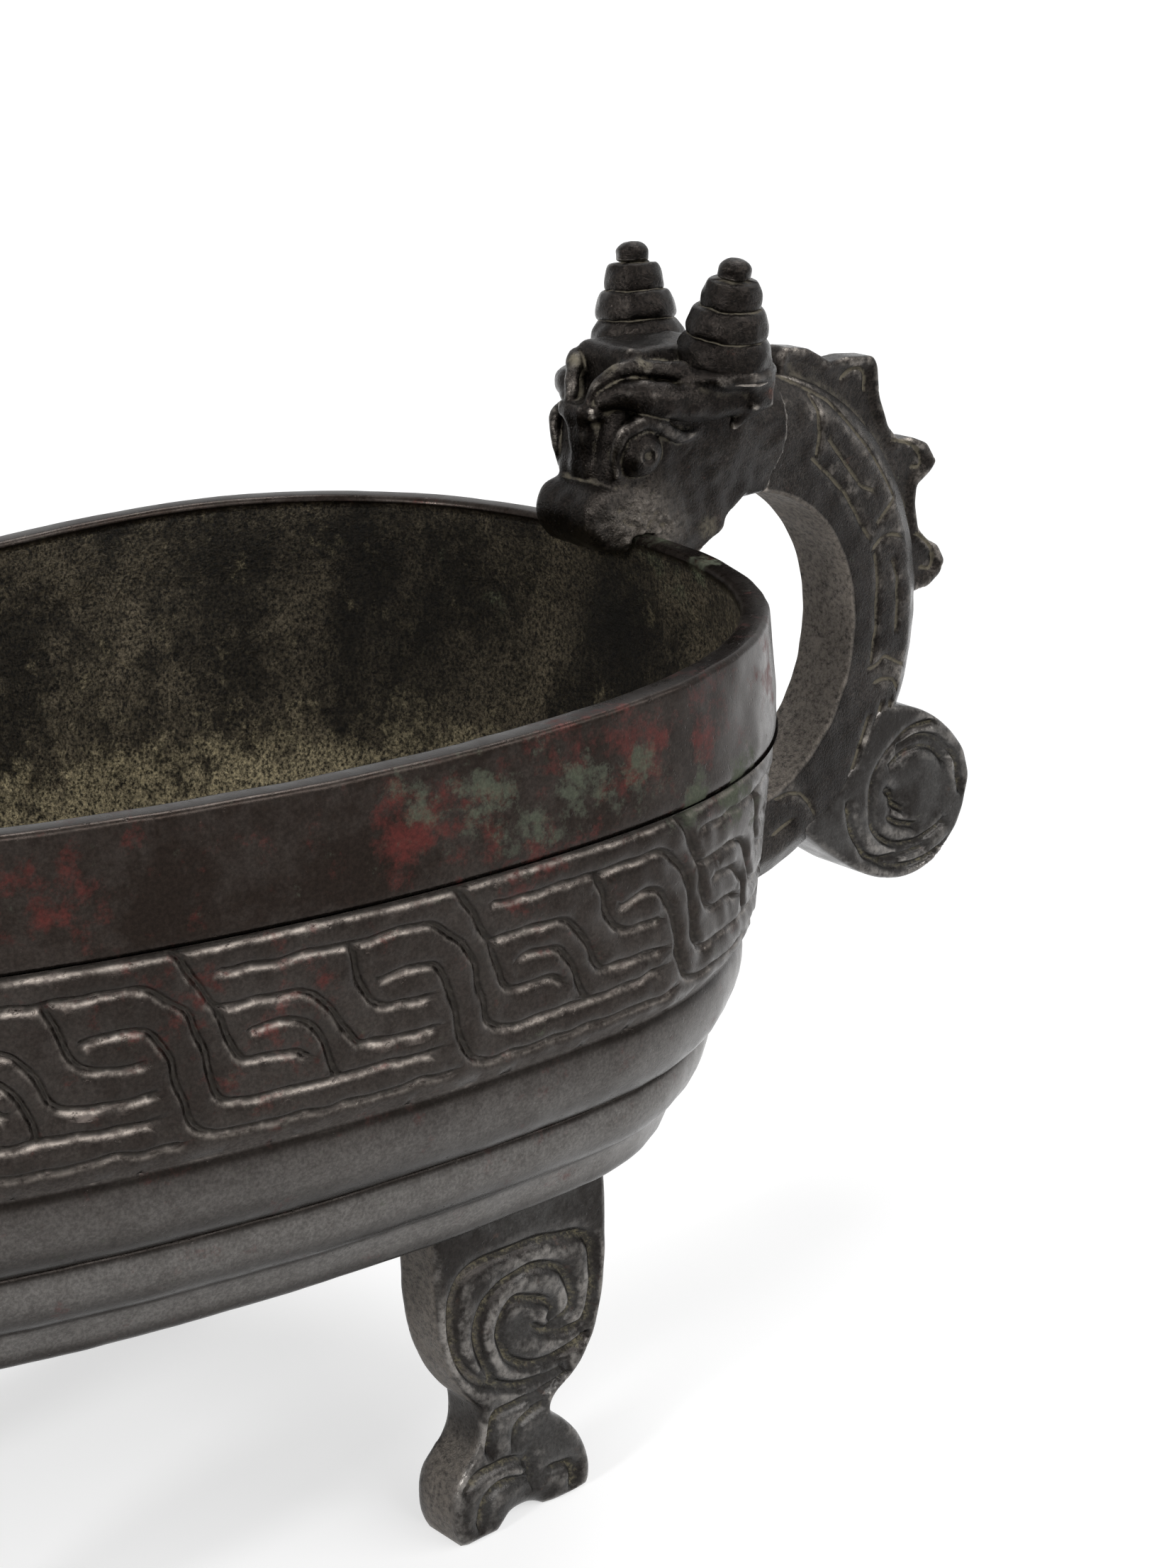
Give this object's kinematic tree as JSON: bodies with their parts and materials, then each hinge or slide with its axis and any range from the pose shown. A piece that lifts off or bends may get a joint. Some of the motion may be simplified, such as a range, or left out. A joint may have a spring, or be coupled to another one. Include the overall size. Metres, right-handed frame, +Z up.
{
  "type": "bronze ritual pouring vessel",
  "caption": "Egg-shaped bronze pouring bowl on flat legs, with an open spout, a band of angular scrolls above ribs, and a loop handle formed as a horned dragon that bites the rim.",
  "frame": {"origin": "on the surface the vessel stands on, below the middle of its overall length and width", "axes": "+X runs from the spout to the handle and +Z is up. +Y points to the right of someone who stands behind the handle and looks along the vessel to the spout"},
  "size_m": [0.38, 0.1636, 0.2099],
  "materials": {
    "bowl_bronze": "dark brown-black patina with red and green patches, rubbed bright on the ridges",
    "leg_bronze": "dark grey-brown patina, satin, with tan dust in the carving",
    "handle_bronze": "near-black patina, semi-gloss, with tan dust in the carving",
    "core_clay": "fired clay, matt"
  },
  "bodies": {
    "root": {"bowl": "bowl_bronze", "leg_rear_right": "leg_bronze", "leg_rear_left": "leg_bronze", "leg_front_right": "leg_bronze", "leg_front_left": "leg_bronze", "handle_loop": "handle_bronze", "handle_core": "core_clay", "crest": "handle_bronze", "tail_scroll": "handle_bronze", "dragon_head": "handle_bronze", "horn_right": "handle_bronze", "horn_left": "handle_bronze"}
  },
  "joints": []
}
